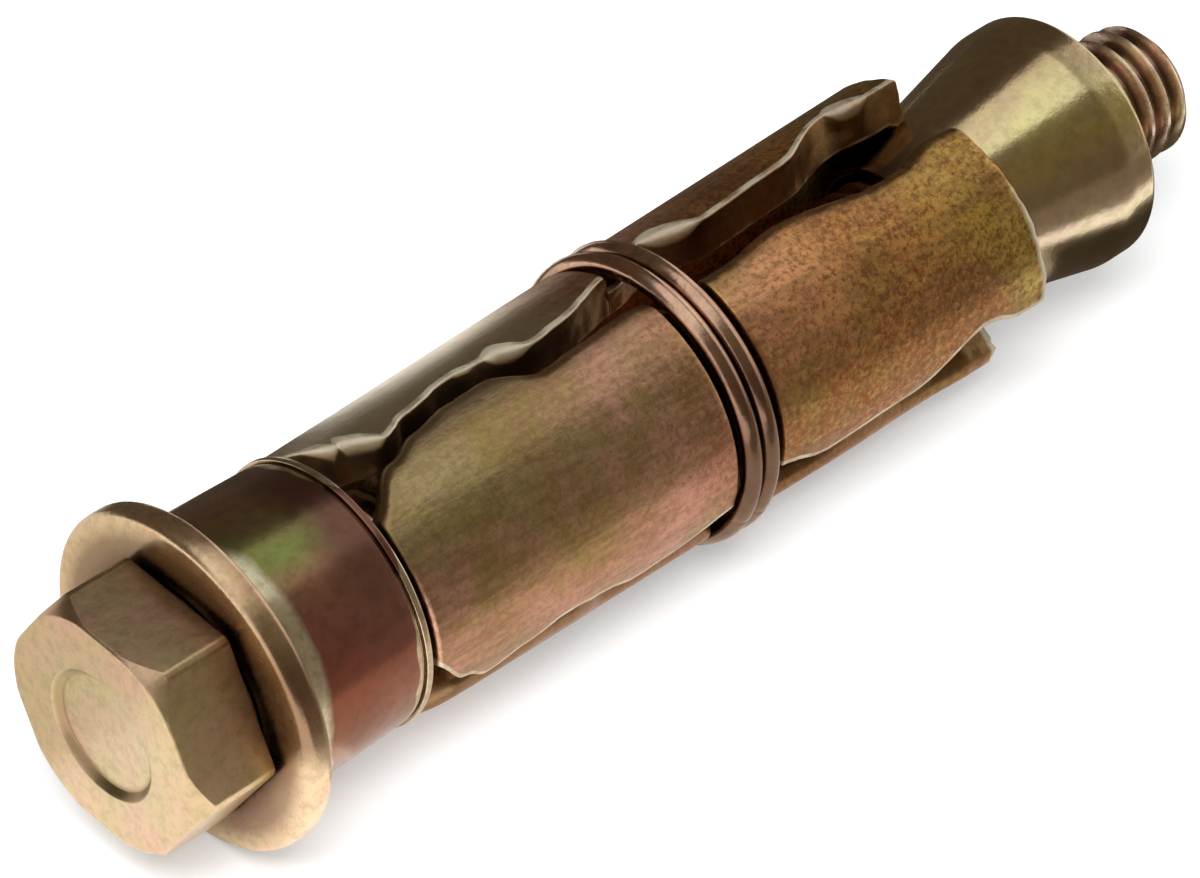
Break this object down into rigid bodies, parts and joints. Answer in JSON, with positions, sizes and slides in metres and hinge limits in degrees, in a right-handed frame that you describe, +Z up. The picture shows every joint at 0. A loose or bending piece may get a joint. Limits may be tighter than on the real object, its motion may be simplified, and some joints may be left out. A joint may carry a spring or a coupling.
{
  "type": "shield expansion anchor bolt",
  "caption": "Yellow-passivated loose-bolt shield anchor, lying on its side: a hex bolt through a washer, ferrule, ringed sheet-metal shield and tapered nut.",
  "frame": {"origin": "Middle of the underside of the part's box, which touches the washer's rim, with the bolt lying level.", "axes": "+X along the bolt from its head to its tip, +Z up, +Y away from the side that the front segment faces."},
  "size_m": [0.059, 0.0148, 0.0148],
  "materials": {
    "bolt_steel": "zinc plated, yellow passivated, satin",
    "washer_steel": "zinc plated, yellow passivated, satin",
    "ferrule_steel": "zinc plated, yellow passivated, bright",
    "shield_steel": "zinc plated, yellow passivated, mottled",
    "wire_steel": "zinc plated, yellow passivated, bright",
    "nut_steel": "zinc plated, yellow passivated, bright"
  },
  "bodies": {
    "ferrule": {"ferrule": "ferrule_steel", "spring_ring": "wire_steel"},
    "bolt": {"hex_bolt": "bolt_steel"},
    "washer": {"washer": "washer_steel"},
    "nut": {"expander_nut": "nut_steel"},
    "segment_1": {"shield_segment_1": "shield_steel"},
    "segment_2": {"shield_segment_2": "shield_steel"},
    "segment_3": {"shield_segment_3": "shield_steel"}
  },
  "joints": [
    {"name": "bolt_turn", "type": "hinge", "parent": "ferrule", "child": "bolt", "pos_m": [-0.0182, 0, 0.0074], "axis": [1, 0, 0], "range_deg": [0, 1800], "deforming": ["spring_ring"]},
    {"name": "washer_spin", "type": "hinge", "parent": "ferrule", "child": "washer", "pos_m": [-0.02485, 0, 0.0074], "axis": [1, 0, 0], "continuous": true},
    {"name": "nut_draw", "type": "slide", "parent": "ferrule", "child": "nut", "axis": [-1, 0, 0], "range_m": [0, 0.00501]},
    {"name": "segment_1_swing", "type": "hinge", "parent": "ferrule", "child": "segment_1", "pos_m": [-0.01815, -0.00339, 0.00951], "axis": [0, -0.5635, -0.8261], "range_deg": [0, 2.44]},
    {"name": "segment_2_swing", "type": "hinge", "parent": "ferrule", "child": "segment_2", "pos_m": [-0.01825, 0.00369, 0.00898], "axis": [0, -0.4337, 0.9011], "range_deg": [0, 2.44]},
    {"name": "segment_3_swing", "type": "hinge", "parent": "ferrule", "child": "segment_3", "pos_m": [-0.0181, -0.00031, 0.00311], "axis": [0, 0.9972, -0.075], "range_deg": [0, 2.44]}
  ],
  "couplings": [
    {"joint": "nut_draw", "follows": "bolt_turn", "m_per_rad": 0.00015915},
    {"joint": "segment_1_swing", "follows": "bolt_turn", "ratio": 0.00135},
    {"joint": "segment_2_swing", "follows": "bolt_turn", "ratio": 0.00135},
    {"joint": "segment_3_swing", "follows": "bolt_turn", "ratio": 0.00135}
  ]
}
